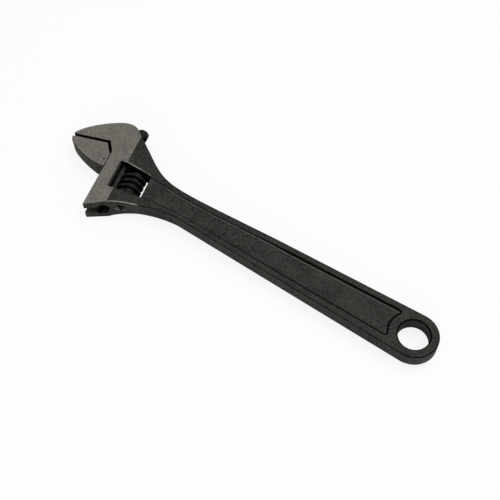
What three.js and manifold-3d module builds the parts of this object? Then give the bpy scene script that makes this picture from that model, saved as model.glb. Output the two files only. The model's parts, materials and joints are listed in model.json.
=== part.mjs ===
// Adjustable wrench, nominal 300 mm: a one-piece forged body with the fixed jaw, a sliding jaw whose
// toothed bar runs in a keyhole bore, and a worm on a fixed pin that drives the bar.
//
// Handle frame (mm): origin at the hanging hole's centre at mid thickness, +X towards the jaws,
// +Y towards the moving jaw's side, +Z up. Head frame: u forward along the jaw faces, v the way the
// moving jaw opens, both at mid thickness; u = 0 is the bar's axis and v = 0 the fixed jaw's face.
import * as THREE from 'three';
import { mergeVertices } from 'three/addons/utils/BufferGeometryUtils.js';
import Module from 'manifold-3d';

const wasm = await Module();
wasm.setup();

// ---------------------------------------------------------------- handle
const HANDLE_THICKNESS = 10.6;
const TAIL_RADIUS = 16.1;
const HOLE_RADIUS = 10.2;
const HOLE_CHAMFER = 0.55;
const WAIST_X = 176;
const WAIST_HALF_WIDTH = 10.8;
const WEB_THICKNESS = 7.4;
const TAIL_RIM = 4.8;
const WAIST_RIM_BACK = 5.9;
const WAIST_RIM_FRONT = 3.4;
const HOLE_BOSS_WIDTH = 6.2;
const PANEL_CORNER_RADIUS = 4;
const PANEL_BULGE = 0.5;
const PANEL_PAST_WAIST = 27;

// ---------------------------------------------------------------- head
const HEAD_ANGLE = THREE.MathUtils.degToRad(15);
const NECK_LENGTH = 65.6;
const HEAD_OFFSET_Y = -21;
const HEAD_THICKNESS = 17.4;
const JAW_TIP_THICKNESS = 9.3;
const JAW_LENGTH = 46.8;
const RIDGE_U = -3.4;
const NECK_SLOPE_LENGTH = 19.9;
const GUIDE_U = 11.8;
const THROAT_DEPTH = 5.2;
const THROAT_ANGLE = THREE.MathUtils.degToRad(30);
const NEAR_WALL = 13.1;
const END_WALL_RISE = 7;
const END_CORNER_CUT = 0.9;
const TIP_ROUND = 0.6;

// The back edge leaves the handle's straight taper this far before the waist.
const BACK_CURVE_LEAD = 66;

// Control points of the curved outlines. The two starts are counted along the handle from where each
// neck curve leaves it, and the others are in the head frame.
const BACK_NECK_START = [104.9, 4.85];
const BACK_NECK_END = [-40.4, 26.1];
const JAW_HEEL_V = -10.2;
const JAW_HEEL_CONTROLS = [[2, -17.5], [5.8, -19.4], [12.2, -19.4]];
const JAW_BACK_CONTROLS = [[25.4, -17.7], [43.9, -7.5]];
const FRONT_NECK_START = [20.6, 0];
const FRONT_NECK_END = [-9.1, 47.5];
const MOVING_BACK_CONTROLS = [[45.4, 12.5], [16.4, 25.2]];

// ---------------------------------------------------------------- window for the worm
const WINDOW_FRONT_U = 2;
const WINDOW_BACK_U = -23.2;
const WINDOW_FAR_V = 15.4;
const WINDOW_FAR_SKEW = 3.9;
const WINDOW_NEAR_V = 39.3;
const WINDOW_CORNER = 2.4;

// ---------------------------------------------------------------- moving jaw and its bar
const REST_OPENING = 2.05;
const MAX_OPENING = 35;
const JAW_GUIDE_LENGTH = 10.4;
const THROAT_CLEARANCE = 1.2;
const GUIDE_CLEARANCE = 0.3;
const BAR_RADIUS = 4.4;
const BAR_CLEARANCE = 0.3;
const BAR_FAR_V = -19.8;
const BAR_NEAR_V = 41;
const BAR_CHAMFER = 1;
const KEY_THICKNESS = 4.4;
const KEY_CLEARANCE = 0.3;

// ---------------------------------------------------------------- worm, pin and spring
const WORM_RADIUS = 8.6;
const WORM_LENGTH = 18.6;
const WORM_END_CLEARANCE = 0.3;
const THREAD_LEAD = 4.8;
const THREAD_CREST = 1.7;
const THREAD_FLANK = 0.7;
const TOOTH_DEPTH = 1.9;
const THREAD_CLEARANCE = 0.25;
const CORE_CLEARANCE = 0.35;
const PIN_RADIUS = 2;
const PIN_CLEARANCE = 0.25;
const PIN_DEPTH = 9;
const PIN_HEAD_RADIUS = 3.2;
const PIN_HEAD_LAND = 3.3;
const PIN_HEAD_RECESS = 1.2;
const PIN_SLOT_WIDTH = 1;
const PIN_SLOT_DEPTH = 1.2;
const SPRING_WIRE_RADIUS = 0.35;
const SPRING_CLEARANCE = 0.45;
const SPRING_TURNS = 6;
const SPRING_SEAT_DEPTH = 7;
const SPRING_END_CLEARANCE = 0.3;

// ---------------------------------------------------------------- fineness and overshoot
const ROUND_STEPS = 48;
const THREAD_STEPS = 28;
const CURVE_STEPS = 14;
const SPRING_STEPS = 14;
const WIRE_STEPS = 4;
const CUT_PAST = 2;
const MERGE_TOLERANCE = 1e-5;

// ---------------------------------------------------------------- finishes
const BLACK_FORGING = { color: 0x3a3b38, roughness: 0.55, metalness: 0.6 };
const GROUND_STEEL = { color: 0x8a8882, roughness: 0.35, metalness: 0.9 };
const BLACK_STEEL = { color: 0x222221, roughness: 0.45, metalness: 0.7 };
const OILED_WIRE = { color: 0x2c2c2a, roughness: 0.4, metalness: 0.6 };

// ---------------------------------------------------------------- sizes that follow from those above
const HEAD_X = WAIST_X + NECK_LENGTH;
const BACK_CURVE_X = WAIST_X - BACK_CURVE_LEAD;
const NECK_START_U = RIDGE_U - NECK_SLOPE_LENGTH;
const END_BEND_V = WINDOW_NEAR_V + NEAR_WALL;
const END_CORNER_V = END_BEND_V + END_WALL_RISE;
const THROAT_CORNER_U = GUIDE_U + THROAT_DEPTH;
const THROAT_V = THROAT_DEPTH / Math.tan(THROAT_ANGLE);
const BORE_RADIUS = BAR_RADIUS + BAR_CLEARANCE;
const SLOT_HALF = KEY_THICKNESS / 2 + KEY_CLEARANCE;
const PIN_HOLE_RADIUS = PIN_RADIUS + PIN_CLEARANCE;

// The moving jaw's throat face is parallel to the body's and THROAT_CLEARANCE off it when closed.
const JAW_THROAT_U = THROAT_CORNER_U + THROAT_CLEARANCE / Math.cos(THROAT_ANGLE);
const JAW_GUIDE_U = GUIDE_U + GUIDE_CLEARANCE;
const JAW_THROAT_V = (JAW_THROAT_U - JAW_GUIDE_U) / Math.tan(THROAT_ANGLE);
const MOVING_HEEL_V = JAW_THROAT_V + JAW_GUIDE_LENGTH;
const MAX_TRAVEL = MAX_OPENING - REST_OPENING;

const WORM_U = TOOTH_DEPTH - BAR_RADIUS - WORM_RADIUS;
const WORM_CORE_RADIUS = WORM_RADIUS - TOOTH_DEPTH - CORE_CLEARANCE;
const WORM_NEAR_V = WINDOW_NEAR_V - WORM_END_CLEARANCE;
const WORM_FAR_V = WORM_NEAR_V - WORM_LENGTH;
const THREAD_ROOT = THREAD_CREST + 2 * THREAD_FLANK;
const SPRING_RADIUS = PIN_RADIUS + SPRING_CLEARANCE + SPRING_WIRE_RADIUS;
const SPRING_SEAT_RADIUS = SPRING_RADIUS + SPRING_WIRE_RADIUS + SPRING_CLEARANCE;
const PIN_FAR_V = windowFarV(WORM_U) - PIN_DEPTH;
const PIN_NEAR_V = endWallV(WORM_U) - PIN_HEAD_RECESS;
const PIN_HEAD_V = WINDOW_NEAR_V + PIN_HEAD_LAND;

// Where the slanting end wall of the head lies at u.
function endWallV(u) {
  return END_CORNER_V + ((u - GUIDE_U) * END_WALL_RISE) / (GUIDE_U - RIDGE_U);
}

// Where the window's far wall lies at u: it stands at a small angle to the bar.
function windowFarV(u) {
  return WINDOW_FAR_V + (WINDOW_FAR_SKEW * (RIDGE_U - u)) / (RIDGE_U - WINDOW_BACK_U);
}

// Half the width of the straight tapered handle at x.
function handleHalfWidth(x) {
  return TAIL_RADIUS + ((WAIST_HALF_WIDTH - TAIL_RADIUS) * x) / WAIST_X;
}

// ---------------------------------------------------------------- solids
function toSolid(geometry) {
  const bare = geometry.clone();
  bare.deleteAttribute('normal');
  bare.deleteAttribute('uv');
  const merged = mergeVertices(bare, MERGE_TOLERANCE);
  const mesh = new wasm.Mesh({
    numProp: 3,
    vertProperties: new Float32Array(merged.attributes.position.array),
    triVerts: new Uint32Array(merged.index.array),
  });
  return new wasm.Manifold(mesh);
}

function toGeometry(solid) {
  const mesh = solid.getMesh();
  const geometry = new THREE.BufferGeometry();
  const positions = new Float32Array(mesh.vertProperties);
  geometry.setAttribute('position', new THREE.BufferAttribute(positions, 3));
  geometry.setIndex(new THREE.BufferAttribute(new Uint32Array(mesh.triVerts), 1));
  return geometry;
}

// A flat outline made a plate between two heights.
function plate(shape, lowZ, highZ) {
  const geometry = new THREE.ExtrudeGeometry(shape, {
    depth: highZ - lowZ,
    bevelEnabled: false,
    curveSegments: CURVE_STEPS,
  });
  geometry.translate(0, 0, lowZ);
  return toSolid(geometry);
}

// A solid turned about a line along v at u, from the [radius, v] corners of its half section.
function turnedAlongV(corners, u = 0) {
  const points = corners.map(([radius, v]) => new THREE.Vector2(radius, v));
  const geometry = new THREE.LatheGeometry(points, ROUND_STEPS);
  geometry.translate(u, 0, 0);
  return toSolid(geometry);
}

function rodAlongV(radius, farV, nearV, u = 0) {
  return turnedAlongV([[0, farV], [radius, farV], [radius, nearV], [0, nearV]], u);
}

function headBox(lowU, highU, lowV, highV, halfThickness) {
  const geometry = new THREE.BoxGeometry(highU - lowU, highV - lowV, 2 * halfThickness);
  geometry.translate((lowU + highU) / 2, (lowV + highV) / 2, 0);
  return toSolid(geometry);
}

const headPlace = new THREE.Matrix4()
  .makeRotationZ(HEAD_ANGLE)
  .setPosition(HEAD_X, HEAD_OFFSET_Y, 0);

// A solid in the head frame carried over to the handle frame.
function headToHandle(solid) {
  return toSolid(toGeometry(solid).applyMatrix4(headPlace));
}

// A point of the head frame given in the handle frame, as the two numbers a path call takes.
function onHandle(u, v) {
  const point = new THREE.Vector3(u, v, 0).applyMatrix4(headPlace);
  return [point.x, point.y];
}

// The head's side view in (u, z): thickest at the ridge, thinner to the jaw tips and to the handle.
function sideProfile() {
  const tipHalf = JAW_TIP_THICKNESS / 2;
  const headHalf = HEAD_THICKNESS / 2;
  const handleHalf = HANDLE_THICKNESS / 2;
  const taper = (headHalf - tipHalf) / (JAW_LENGTH - RIDGE_U);
  const beyondTail = -2 * (HEAD_X + TAIL_RADIUS);
  const upper = [
    [JAW_LENGTH + CUT_PAST, tipHalf - taper * CUT_PAST],
    [RIDGE_U, headHalf],
    [NECK_START_U, handleHalf],
    [beyondTail, handleHalf],
  ];
  const lower = upper.map(([u, z]) => [u, -z]).reverse();
  return new THREE.Shape([...upper, ...lower].map(([u, z]) => new THREE.Vector2(u, z)));
}

// The side view drawn out across the whole width, so that it trims a plate to the head's thickness.
function thicknessTrim() {
  const width = 4 * (HEAD_X + TAIL_RADIUS);
  const geometry = new THREE.ExtrudeGeometry(sideProfile(), { depth: width, bevelEnabled: false });
  geometry.translate(0, 0, -width / 2);
  geometry.rotateX(Math.PI / 2);
  return toSolid(geometry);
}

// ---------------------------------------------------------------- body
// Plan of the whole body in the handle frame, from the tail round by the fixed jaw's back.
function bodyOutline() {
  const taperAngle = Math.asin((TAIL_RADIUS - WAIST_HALF_WIDTH) / WAIST_X);
  const shape = new THREE.Shape();
  shape.absarc(0, 0, TAIL_RADIUS, Math.PI / 2 - taperAngle, 1.5 * Math.PI + taperAngle, false);
  shape.lineTo(BACK_CURVE_X, -handleHalfWidth(BACK_CURVE_X));
  shape.bezierCurveTo(
    BACK_CURVE_X + BACK_NECK_START[0], BACK_NECK_START[1] - handleHalfWidth(BACK_CURVE_X),
    ...onHandle(...BACK_NECK_END),
    ...onHandle(RIDGE_U, JAW_HEEL_V),
  );
  shape.bezierCurveTo(...JAW_HEEL_CONTROLS.flatMap(([u, v]) => onHandle(u, v)));
  shape.bezierCurveTo(
    ...JAW_BACK_CONTROLS.flatMap(([u, v]) => onHandle(u, v)),
    ...onHandle(JAW_LENGTH, -TIP_ROUND),
  );
  shape.lineTo(...onHandle(JAW_LENGTH - TIP_ROUND, 0));
  shape.lineTo(...onHandle(THROAT_CORNER_U, 0));
  shape.lineTo(...onHandle(GUIDE_U, THROAT_V));
  shape.lineTo(...onHandle(GUIDE_U, END_CORNER_V - END_CORNER_CUT));
  shape.lineTo(...onHandle(GUIDE_U - END_CORNER_CUT, endWallV(GUIDE_U - END_CORNER_CUT)));
  shape.lineTo(...onHandle(RIDGE_U, END_BEND_V));
  shape.bezierCurveTo(
    ...onHandle(...FRONT_NECK_END),
    WAIST_X + FRONT_NECK_START[0], WAIST_HALF_WIDTH + FRONT_NECK_START[1],
    WAIST_X, WAIST_HALF_WIDTH,
  );
  return shape;
}

// The sunk panel of the handle: a rim is left along both edges and a boss around the hole.
function panelOutline() {
  const bossRadius = HOLE_RADIUS + HOLE_BOSS_WIDTH;
  const startX = bossRadius + PANEL_CORNER_RADIUS / 2;
  const startY = handleHalfWidth(startX) - TAIL_RIM;
  const backY = WAIST_RIM_BACK - WAIST_HALF_WIDTH;
  const frontY = WAIST_HALF_WIDTH - WAIST_RIM_FRONT;
  const cornerAngle = Math.atan2(startY - PANEL_CORNER_RADIUS / 2, bossRadius);
  const endX = WAIST_X + PANEL_PAST_WAIST;
  const shape = new THREE.Shape();
  shape.absarc(0, 0, bossRadius, cornerAngle, -cornerAngle, true);
  shape.quadraticCurveTo(
    startX - PANEL_CORNER_RADIUS / 2, -startY,
    startX + PANEL_CORNER_RADIUS / 2, -startY,
  );
  shape.quadraticCurveTo((startX + WAIST_X) / 2, (backY - startY) / 2 - PANEL_BULGE, WAIST_X, backY);
  shape.lineTo(endX - PANEL_CORNER_RADIUS, backY);
  shape.quadraticCurveTo(endX, backY, endX, backY + PANEL_CORNER_RADIUS);
  shape.lineTo(endX, frontY - PANEL_CORNER_RADIUS);
  shape.quadraticCurveTo(endX, frontY, endX - PANEL_CORNER_RADIUS, frontY);
  shape.lineTo(WAIST_X, frontY);
  shape.lineTo(startX + PANEL_CORNER_RADIUS / 2, startY);
  shape.quadraticCurveTo(
    startX - PANEL_CORNER_RADIUS / 2, startY,
    bossRadius * Math.cos(cornerAngle), bossRadius * Math.sin(cornerAngle),
  );
  return shape;
}

// The hanging hole with both rims chamfered, turned about Z.
function hangingHole() {
  const half = HANDLE_THICKNESS / 2;
  const wide = HOLE_RADIUS + HOLE_CHAMFER + CUT_PAST;
  const corners = [
    [0, -half - CUT_PAST],
    [wide, -half - CUT_PAST],
    [HOLE_RADIUS, HOLE_CHAMFER - half],
    [HOLE_RADIUS, half - HOLE_CHAMFER],
    [wide, half + CUT_PAST],
    [0, half + CUT_PAST],
  ];
  const points = corners.map(([radius, z]) => new THREE.Vector2(radius, z));
  const geometry = new THREE.LatheGeometry(points, ROUND_STEPS);
  geometry.rotateX(Math.PI / 2);
  return toSolid(geometry);
}

// Plan of the window: square at the back, rounded in front, where it laps over the bar's bore.
function windowOutline() {
  const cornerU = WINDOW_FRONT_U - 2 * WINDOW_CORNER;
  const shape = new THREE.Shape();
  shape.moveTo(WINDOW_BACK_U, windowFarV(WINDOW_BACK_U));
  shape.lineTo(cornerU, windowFarV(cornerU));
  shape.quadraticCurveTo(
    WINDOW_FRONT_U, windowFarV(cornerU),
    WINDOW_FRONT_U, windowFarV(cornerU) + WINDOW_CORNER,
  );
  shape.lineTo(WINDOW_FRONT_U, WINDOW_NEAR_V - WINDOW_CORNER);
  shape.quadraticCurveTo(WINDOW_FRONT_U, WINDOW_NEAR_V, cornerU, WINDOW_NEAR_V);
  shape.lineTo(WINDOW_BACK_U, WINDOW_NEAR_V);
  return shape;
}

// Stepped hole for the pin: blind beyond the window, wide at the end wall for its slotted head.
function pinHole() {
  const wideRadius = PIN_HEAD_RADIUS + PIN_CLEARANCE;
  const stepV = PIN_HEAD_V - PIN_CLEARANCE;
  return turnedAlongV([
    [0, PIN_FAR_V - PIN_CLEARANCE],
    [PIN_HOLE_RADIUS, PIN_FAR_V - PIN_CLEARANCE],
    [PIN_HOLE_RADIUS, stepV],
    [wideRadius, stepV],
    [wideRadius, END_CORNER_V],
    [0, END_CORNER_V],
  ], WORM_U);
}

function makeBody() {
  const half = HEAD_THICKNESS / 2;
  const blank = plate(bodyOutline(), -half, half).intersect(headToHandle(thicknessTrim()));
  const panelFloor = WEB_THICKNESS / 2;
  const boreFarV = BAR_FAR_V - CUT_PAST;
  const slotFarV = JAW_THROAT_V - KEY_CLEARANCE;
  const headCuts = [
    rodAlongV(BORE_RADIUS, boreFarV, END_CORNER_V + CUT_PAST),
    headBox(0, GUIDE_U + CUT_PAST, slotFarV, END_CORNER_V + CUT_PAST, SLOT_HALF),
    plate(windowOutline(), -half - CUT_PAST, half + CUT_PAST),
    pinHole(),
  ];
  const handleCuts = [
    plate(panelOutline(), panelFloor, half),
    plate(panelOutline(), -half, -panelFloor),
    hangingHole(),
  ];
  const cutters = [...headCuts.map(headToHandle), ...handleCuts];
  return cutters.reduce((solid, cutter) => solid.subtract(cutter), blank);
}

// ---------------------------------------------------------------- worm
// A right-hand helical ridge about u = 0, a turn too long at both ends: the caller trims it.
function threadRidge(rootRadius, crestRadius, rootWidth, crestWidth, farV, nearV) {
  const section = [
    [rootRadius, -rootWidth / 2],
    [crestRadius, -crestWidth / 2],
    [crestRadius, crestWidth / 2],
    [rootRadius, rootWidth / 2],
  ];
  const sides = section.length;
  const firstTurn = Math.floor(farV / THREAD_LEAD) - 1;
  const lastTurn = Math.ceil(nearV / THREAD_LEAD) + 1;
  const count = (lastTurn - firstTurn) * THREAD_STEPS;
  const positions = [];
  const index = [];
  for (let i = 0; i <= count; i += 1) {
    const turn = firstTurn + i / THREAD_STEPS;
    const angle = 2 * Math.PI * turn;
    for (const [radius, offset] of section) {
      positions.push(radius * Math.sin(angle), turn * THREAD_LEAD + offset, radius * Math.cos(angle));
    }
  }
  for (let i = 0; i < count; i += 1) {
    for (let side = 0; side < sides; side += 1) {
      const a = i * sides + side;
      const b = i * sides + ((side + 1) % sides);
      index.push(a, a + sides, b, b, a + sides, b + sides);
    }
  }
  const last = count * sides;
  index.push(0, 1, 2, 0, 2, 3);
  index.push(last, last + 2, last + 1, last, last + 3, last + 2);
  const geometry = new THREE.BufferGeometry();
  geometry.setAttribute('position', new THREE.Float32BufferAttribute(positions, 3));
  geometry.setIndex(index);
  return toSolid(geometry);
}

function shiftedU(solid, u) {
  return toSolid(toGeometry(solid).translate(u, 0, 0));
}

function makeWorm() {
  const sunkRadius = (WORM_CORE_RADIUS + SPRING_SEAT_RADIUS) / 2;
  const ridge = threadRidge(
    sunkRadius, WORM_RADIUS, THREAD_ROOT, THREAD_CREST, WORM_FAR_V, WORM_NEAR_V,
  );
  const blank = rodAlongV(WORM_RADIUS + CUT_PAST, WORM_FAR_V, WORM_NEAR_V);
  const core = rodAlongV(WORM_CORE_RADIUS, WORM_FAR_V, WORM_NEAR_V);
  const seatV = WORM_FAR_V + SPRING_SEAT_DEPTH;
  const bore = turnedAlongV([
    [0, WORM_FAR_V - CUT_PAST],
    [SPRING_SEAT_RADIUS, WORM_FAR_V - CUT_PAST],
    [SPRING_SEAT_RADIUS, seatV],
    [PIN_HOLE_RADIUS, seatV],
    [PIN_HOLE_RADIUS, WORM_NEAR_V + CUT_PAST],
    [0, WORM_NEAR_V + CUT_PAST],
  ]);
  return shiftedU(ridge.intersect(blank).add(core).subtract(bore), WORM_U);
}

// What the worm sweeps out of the bar over the whole travel: the same thread, drawn out over the
// travel and grown by its clearance.
function rackCutter() {
  const farV = WORM_FAR_V - MAX_TRAVEL - CUT_PAST;
  const nearV = BAR_NEAR_V + CUT_PAST;
  const grow = 2 * THREAD_CLEARANCE;
  const ridge = threadRidge(
    WORM_CORE_RADIUS, WORM_RADIUS + THREAD_CLEARANCE, THREAD_ROOT + grow, THREAD_CREST + grow,
    farV, nearV,
  );
  const blank = rodAlongV(WORM_RADIUS + CUT_PAST, farV, nearV);
  return shiftedU(ridge.intersect(blank), WORM_U);
}

// ---------------------------------------------------------------- moving jaw
function movingJawOutline() {
  const faceV = REST_OPENING;
  const heelV = faceV + MOVING_HEEL_V;
  const shape = new THREE.Shape();
  shape.moveTo(JAW_LENGTH - TIP_ROUND, faceV);
  shape.lineTo(JAW_LENGTH, faceV + TIP_ROUND);
  shape.bezierCurveTo(...MOVING_BACK_CONTROLS.flat(), JAW_GUIDE_U, heelV);
  shape.lineTo(JAW_GUIDE_U, faceV + JAW_THROAT_V);
  shape.lineTo(JAW_THROAT_U, faceV);
  return shape;
}

function makeMovingJaw() {
  const half = HEAD_THICKNESS / 2;
  const jaw = plate(movingJawOutline(), -half, half).intersect(thicknessTrim());
  const keyFarV = REST_OPENING + JAW_THROAT_V;
  const keyNearV = REST_OPENING + MOVING_HEEL_V;
  const key = headBox(0, JAW_GUIDE_U + CUT_PAST, keyFarV, keyNearV, KEY_THICKNESS / 2);
  const endRadius = BAR_RADIUS - BAR_CHAMFER;
  const bar = turnedAlongV([
    [0, BAR_FAR_V],
    [endRadius, BAR_FAR_V],
    [BAR_RADIUS, BAR_FAR_V + BAR_CHAMFER],
    [BAR_RADIUS, BAR_NEAR_V - BAR_CHAMFER],
    [endRadius, BAR_NEAR_V],
    [0, BAR_NEAR_V],
  ]);
  return jaw.add(key).add(bar).subtract(rackCutter());
}

// ---------------------------------------------------------------- pin and spring
function makePin() {
  const pin = turnedAlongV([
    [0, PIN_FAR_V],
    [PIN_RADIUS, PIN_FAR_V],
    [PIN_RADIUS, PIN_HEAD_V],
    [PIN_HEAD_RADIUS, PIN_HEAD_V],
    [PIN_HEAD_RADIUS, PIN_NEAR_V],
    [0, PIN_NEAR_V],
  ], WORM_U);
  const slotReach = PIN_HEAD_RADIUS + CUT_PAST;
  const slot = headBox(
    WORM_U - slotReach, WORM_U + slotReach,
    PIN_NEAR_V - PIN_SLOT_DEPTH, PIN_NEAR_V + CUT_PAST,
    PIN_SLOT_WIDTH / 2,
  );
  return pin.subtract(slot);
}

// Open coil round the pin, from the window's far wall to the seat inside the worm.
function makeSpring() {
  const endGap = SPRING_WIRE_RADIUS + SPRING_END_CLEARANCE;
  const farV = windowFarV(WORM_U - SPRING_SEAT_RADIUS) + endGap;
  const nearV = WORM_FAR_V + SPRING_SEAT_DEPTH - endGap;
  const count = SPRING_TURNS * SPRING_STEPS;
  const points = [];
  for (let i = 0; i <= count; i += 1) {
    const angle = (2 * Math.PI * i) / SPRING_STEPS;
    points.push(new THREE.Vector3(
      WORM_U + SPRING_RADIUS * Math.sin(angle),
      farV + ((nearV - farV) * i) / count,
      SPRING_RADIUS * Math.cos(angle),
    ));
  }
  const wire = new THREE.Shape();
  wire.absarc(0, 0, SPRING_WIRE_RADIUS, 0, 2 * Math.PI, false);
  const geometry = new THREE.ExtrudeGeometry(wire, {
    extrudePath: new THREE.CatmullRomCurve3(points),
    steps: count,
    bevelEnabled: false,
    curveSegments: WIRE_STEPS,
  });
  return toSolid(geometry);
}

// ---------------------------------------------------------------- assembly
function namedMesh(name, solid, finish) {
  const mesh = new THREE.Mesh(toGeometry(solid), new THREE.MeshStandardMaterial(finish));
  mesh.name = name;
  return mesh;
}

const head = new THREE.Group();
head.position.set(HEAD_X, HEAD_OFFSET_Y, 0);
head.rotation.z = HEAD_ANGLE;
head.add(namedMesh('movable_jaw', makeMovingJaw(), GROUND_STEEL));
head.add(namedMesh('adjusting_worm', makeWorm(), BLACK_STEEL));
head.add(namedMesh('worm_pin', makePin(), BLACK_STEEL));
head.add(namedMesh('worm_spring', makeSpring(), OILED_WIRE));

const wrench = new THREE.Group();
wrench.add(namedMesh('body', makeBody(), BLACK_FORGING));
wrench.add(head);

// The finished part lies on Z = 0 with the middle of its plan at the origin.
wrench.updateMatrixWorld(true);
const bounds = new THREE.Box3().setFromObject(wrench, true);
const middle = bounds.getCenter(new THREE.Vector3());
wrench.position.set(-middle.x, -middle.y, -bounds.min.z);

export default wrench;
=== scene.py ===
"""Adjustable wrench of 300 mm nominal length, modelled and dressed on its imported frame.

Pieces are modelled in millimetres in one of three frames, and placed in the row frame last:

* the handle frame has its origin at the hanging hole's centre, X towards the jaws and Z up;
* the head frame has U forward along the jaw faces, V the way the sliding jaw opens, and Z up;
* a shaft frame has Z along V, X up and Y along U, for what turns about the bar or the worm.
"""

import json
import logging
import math
from collections.abc import Callable, Iterator, Sequence
from contextlib import contextmanager
from dataclasses import dataclass
from enum import Enum

import bmesh
import bpy
from mathutils import Matrix, Vector

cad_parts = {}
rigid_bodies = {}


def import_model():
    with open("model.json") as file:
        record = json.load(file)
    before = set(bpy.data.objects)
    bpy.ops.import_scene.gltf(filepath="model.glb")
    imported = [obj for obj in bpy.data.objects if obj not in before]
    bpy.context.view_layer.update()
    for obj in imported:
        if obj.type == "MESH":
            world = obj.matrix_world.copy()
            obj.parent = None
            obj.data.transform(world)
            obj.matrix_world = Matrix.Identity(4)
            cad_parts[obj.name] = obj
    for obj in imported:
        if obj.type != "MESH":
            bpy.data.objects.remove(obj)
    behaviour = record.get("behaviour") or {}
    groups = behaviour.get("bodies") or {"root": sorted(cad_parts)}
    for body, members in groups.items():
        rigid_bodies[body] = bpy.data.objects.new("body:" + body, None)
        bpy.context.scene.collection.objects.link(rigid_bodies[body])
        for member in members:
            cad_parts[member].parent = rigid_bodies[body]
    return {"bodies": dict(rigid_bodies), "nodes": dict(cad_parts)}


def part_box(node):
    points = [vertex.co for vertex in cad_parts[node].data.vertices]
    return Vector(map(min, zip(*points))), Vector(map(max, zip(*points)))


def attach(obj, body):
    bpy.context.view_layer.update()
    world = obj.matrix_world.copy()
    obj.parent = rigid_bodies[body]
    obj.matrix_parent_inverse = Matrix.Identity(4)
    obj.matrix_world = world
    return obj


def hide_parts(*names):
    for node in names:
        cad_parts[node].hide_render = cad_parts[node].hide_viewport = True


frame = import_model()

LOG = logging.getLogger("wrench")
MM = 0.001
TOUCH = 0.1  # A point this near a face, in millimetres, counts as on it.
STRAY = 0.01  # Vertices nearer than this, in millimetres, are one.
BROAD = 0.9  # The least Z of a broad side's normal, up or down.
UPRIGHT = 0.35  # The most Z of an upright wall's normal.
SMALL_SIDES, SIDES, FINE_SIDES = 48, 72, 96  # Flats round small, middling and large rods.
NEIGHBOURS = -1  # The slot number that stands for the neighbouring faces' own.

Point = tuple[float, float]
Piece = bpy.types.Object
Edge = bmesh.types.BMEdge
Tree = bpy.types.NodeTree
Socket = bpy.types.NodeSocket
EdgeTest = Callable[[Edge], bool]
EdgeWeight = Callable[[Edge], float]


class Way(Enum):
    """How one solid is combined with another."""

    CUT = "DIFFERENCE"
    JOIN = "UNION"
    COMMON = "INTERSECT"


class SelectBy(Enum):
    """What edit mode selects."""

    VERTEX = "VERT"
    EDGE = "EDGE"
    FACE = "FACE"


class Side(Enum):
    """The two broad sides of the wrench, as the sign of their Z."""

    UPPER = 1
    UNDER = -1


class BodyFinish(Enum):
    """Material slots of the body: forged black, ground steel, uncoated steel that is wear and
    painted highlight, painted shade, and painted light. The sliding jaw has the first four, its
    bar's oxide in the third.
    """

    FORGED = 0
    GROUND = 1
    # Wear down to uncoated steel, which also paints highlights along lips.
    RUBBED = 2
    # Painted shade: a flat black on slopes, rounded edges and recess walls.
    SOOTED = 3
    # Painted light: lighter window walls and a painted highlight at the panel's foot.
    MILLED = 4


# ------------------------------------------------------------------ modelling by hand
def make_active(piece: Piece) -> None:
    """Deselects everything, then selects one piece and makes it the active one.

    Args:
        piece: The piece that the next operators act on.
    """
    for other in bpy.context.selected_objects:
        other.select_set(False)
    piece.select_set(True)
    bpy.context.view_layer.objects.active = piece


def fix(piece: Piece) -> Piece:
    """Takes a piece's place, turn and size into its mesh.

    Args:
        piece: The piece, placed by its object.

    Returns:
        The same piece, its object at the origin.
    """
    make_active(piece)
    bpy.ops.object.transform_apply(location=True, rotation=True, scale=True)
    return piece


def place(piece: Piece, matrix: Matrix) -> Piece:
    """Carries a piece over to another frame and leaves its object at the origin."""
    piece.matrix_world = matrix
    return fix(piece)


def modify(piece: Piece, kind: str, settings: dict) -> None:
    """Adds a modifier and applies it.

    Args:
        piece: The mesh that is changed.
        kind: Blender's name of the modifier.
        settings: Values by the modifier's property.
    """
    make_active(piece)
    bpy.ops.object.modifier_add(type=kind)
    step = piece.modifiers[-1]
    for name, value in settings.items():
        setattr(step, name, value)
    bpy.ops.object.modifier_apply(modifier=step.name)


@contextmanager
def editing(piece: Piece, by: SelectBy, whole: bool = False) -> Iterator[bmesh.types.BMesh]:
    """Opens a piece in edit mode.

    Args:
        piece: The mesh to edit.
        by: What is selected while it is open.
        whole: True to start with everything selected, False with nothing.

    Returns:
        The mesh's edit data, through the with statement.
    """
    make_active(piece)
    bpy.ops.object.mode_set(mode="EDIT")
    bpy.ops.mesh.select_mode(type=by.value)
    bpy.ops.mesh.select_all(action="SELECT" if whole else "DESELECT")
    yield bmesh.from_edit_mesh(piece.data)
    bpy.ops.object.mode_set(mode="OBJECT")


def face_outwards(piece: Piece) -> None:
    """Turns every face of a closed solid outwards."""
    with editing(piece, SelectBy.FACE, whole=True):
        bpy.ops.mesh.normals_make_consistent(inside=False)


def draw_face(name: str, points: Sequence[Vector]) -> Piece:
    """Draws a flat face by extruding one vertex from point to point and filling the loop.

    Args:
        name: The new object's name.
        points: The outline's corners in order, not closed.

    Returns:
        An object with one face.
    """
    bpy.ops.mesh.primitive_plane_add(size=1)
    piece = bpy.context.object
    piece.name = name
    with editing(piece, SelectBy.VERTEX, whole=True):
        bpy.ops.mesh.merge(type="CENTER")
        bpy.ops.transform.translate(value=points[0])
        for here, there in zip(points, points[1:]):
            bpy.ops.mesh.extrude_vertices_move(TRANSFORM_OT_translate={"value": there - here})
        bpy.ops.mesh.select_all(action="SELECT")
        bpy.ops.mesh.edge_face_add()
    return piece


def prism(name: str, points: Sequence[Vector], path: Sequence[float]) -> Piece:
    """Makes a closed solid by extruding a flat outline.

    Args:
        name: The new object's name.
        points: The outline's corners in order, not closed.
        path: The way the outline is drawn out.

    Returns:
        The solid.
    """
    piece = draw_face(name, points)
    with editing(piece, SelectBy.FACE, whole=True):
        bpy.ops.mesh.extrude_region_move(TRANSFORM_OT_translate={"value": path})
    face_outwards(piece)
    return piece


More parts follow.
